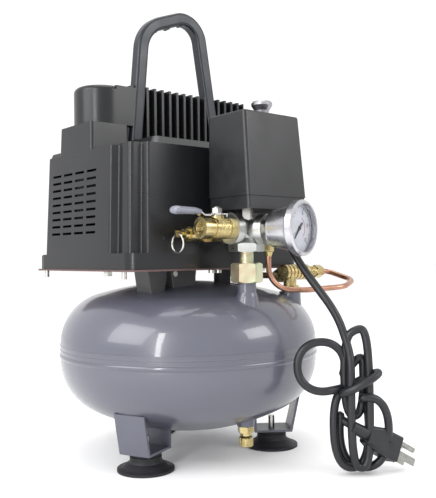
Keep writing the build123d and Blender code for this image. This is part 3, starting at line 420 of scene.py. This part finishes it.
def flat_mark(mesh, corners):
    mesh.faces.new([mesh.verts.new(c) for c in corners])


def radial_mark(mesh, degrees, inner, outer, width):
    half = width / 2
    corners = []
    for radius, side in ((inner, -1), (outer, -1), (outer, 1), (inner, 1)):
        turn = math.degrees(side * half / radius)
        corners.append(on_dial(radius, degrees + turn, TICK_LIFT))
    flat_mark(mesh, corners)


def arc_mark(mesh, first, last, inner, outer, steps=40):
    for i in range(steps):
        a = first + (last - first) * i / steps
        b = first + (last - first) * (i + 1) / steps
        flat_mark(mesh, [on_dial(inner, a, INK_LIFT), on_dial(outer, a, INK_LIFT),
                         on_dial(outer, b, INK_LIFT), on_dial(inner, b, INK_LIFT)])


def make_dial(looks):
    """Generic marks, numbers and a red band."""
    black = looks["needle_black"]
    marks = bmesh.new()
    for i in range(DIAL_STEPS + 1):
        major = i % 5 == 0
        degrees = DIAL_START - DIAL_SWEEP * i / DIAL_STEPS
        radial_mark(marks, degrees, DIAL_R - (2.6 if major else 1.5), DIAL_R - 0.4,
                    0.8 if major else 0.36)
    arc_mark(marks, DIAL_START, DIAL_START - DIAL_SWEEP, DIAL_R - 0.5, DIAL_R - 0.3, 90)
    mesh = bpy.data.meshes.new("dial_marks")
    marks.to_mesh(mesh)
    add_piece("dial_marks", mesh, black)
    red = bmesh.new()
    arc_mark(red, 62, -45, 9.2, 10.0)
    mesh = bpy.data.meshes.new("dial_red_band")
    red.to_mesh(mesh)
    red_ink = Paint("dial_red_ink", (0.3, 0.02, 0.03), 0.4)
    red_ink.mottle(200, 0.1)
    add_piece("dial_red_band", mesh, red_ink)
    for i in range(DIAL_NUMBERS):
        degrees = DIAL_START - DIAL_SWEEP * i / (DIAL_NUMBERS - 1)
        text = bpy.data.curves.new(f"dial_number_{i}", "FONT")
        text.body = str(2 * i)
        text.size = NUMBER_HEIGHT * MM
        text.align_x, text.align_y = "CENTER", "CENTER"
        text.extrude = 0.01 * MM
        number = add_piece(f"dial_number_{i}", text, black)
        number.location = on_dial(DIAL_R - 5.2, degrees, INK_LIFT)
        number.rotation_euler = (math.radians(90), 0, math.radians(GAUGE_YAW))


# ---------------------------------------------------------------- threads and moulded details
def make_threads(looks):
    """Fine ridges that the CAD leaves as plain cylinders."""
    x, y = MANIFOLD
    brass, zinc = looks["brass"], looks["union_zinc"]
    thread("union_thread", (x, y, 179.2), (x, y, 187.4), 5.75, 1.35, zinc)
    thread("valve_barrel_ridges", (-45.6, y, 208), (-32.2, y, 208), 8.95, 1.5, brass,
           depth=0.4)
    thread("outlet_thread", (-58.6, y, 208), (-51, y, 208), 5.72, 1.34, brass,
           depth=0.35)
    x, y, z = CHECK_VALVE
    thread("check_valve_thread", (x + 23, y, z), (x + 33, y, z), 5.0, 1.2, brass,
           depth=0.35)


def make_plug_seam(looks):
    """Two thin lines meant as the plug's parting lines; they stand off its surface."""
    origin, right, up, toward = hank_axes()
    out_right, out_toward, out_up = PLUG_AXIS
    axis = (right * out_right + toward * out_toward + up * out_up).normalized()
    side = (toward - axis * axis.dot(toward)).normalized()
    other = axis.cross(side)
    start = origin + right * PLUG_START[0] + up * PLUG_START[1]
    roll = math.radians(PLUG_ROLL)
    for number, sign in enumerate((-1, 1)):
        lean = (side * math.cos(roll) + other * math.sin(roll)) * sign
        line = [(start + axis * out + lean * reach) * MM
                for out, reach in ((1.5, 5.7), (6, 6.9), (11, 8.1), (20, 8.35), (30.2, 8.6))]
        seam = tube_curve(f"plug_seam_{number}", line, 0.35 * MM)
        add_piece(f"plug_seam_{number}", seam, looks["cord_vinyl"])


# ---------------------------------------------------------------- lights, floor and camera
def make_stage():
    bpy.ops.mesh.primitive_plane_add(size=FLOOR_SIZE, location=(0, 0, 0))
    floor = bpy.context.object
    floor.name = "floor"
    plaster = Paint("floor_paint", (0.9, 0.9, 0.9), 0.7)
    plaster.mottle(3, 0.01)
    floor.data.materials.append(plaster.mat)
    world = bpy.data.worlds.new("studio")
    SCENE.world = world
    world.use_nodes = True
    background = world.node_tree.nodes["Background"]
    background.inputs["Color"].default_value = (1, 1, 1, 1)
    background.inputs["Strength"].default_value = WORLD_STRENGTH
    SCENE.view_settings.view_transform = "Standard"


def softbox(name, place, size, power):
    data = bpy.data.lights.new(name, "AREA")
    data.shape = "RECTANGLE"
    data.size, data.size_y = size
    data.energy = power
    lamp = bpy.data.objects.new(name, data)
    SCENE.collection.objects.link(lamp)
    lamp.location = place
    lamp.rotation_euler = (Vector(LAMP_AIM) - Vector(place)).to_track_quat("-Z", "Y").to_euler()


def make_lights():
    softbox("left_box", (-1.3, 0.1, 0.9), (0.9, 0.9), 12)
    softbox("right_box", (0.7, -1.3, 0.9), (0.7, 0.5), 8)
    softbox("top_box", (0.1, 0.1, 1.7), (1.0, 1.0), 8)
    softbox("edge_strip", (-1.1, -0.55, 0.5), (0.12, 1.0), 7)


def make_camera():
    data = bpy.data.cameras.new("camera")
    data.sensor_width = CAMERA_SENSOR
    data.lens = CAMERA_LENS
    camera = bpy.data.objects.new("camera", data)
    SCENE.collection.objects.link(camera)
    yaw, pitch, roll = (math.radians(a) for a in (CAMERA_YAW, CAMERA_PITCH, CAMERA_ROLL))
    forward = Vector((math.sin(yaw) * math.cos(pitch), math.cos(yaw) * math.cos(pitch),
                      math.sin(pitch)))
    right = forward.cross(Vector((0, 0, 1))).normalized()
    up = right.cross(forward)
    tilted = right * math.cos(roll) + up * math.sin(roll)
    up = up * math.cos(roll) - right * math.sin(roll)
    camera.matrix_world = Matrix.LocRotScale(
        Vector(CAMERA_PLACE),
        Matrix((tilted, up, -forward)).transposed().to_quaternion(), None)
    data.clip_start = 0.05
    SCENE.camera = camera


# ---------------------------------------------------------------- build
make_camera()
LOOKS = paints()
for slot_name, finish in LOOKS.items():
    dress(slot_name, finish)
make_cord(LOOKS)
make_dial(LOOKS)
make_threads(LOOKS)
make_plug_seam(LOOKS)
make_stage()
make_lights()
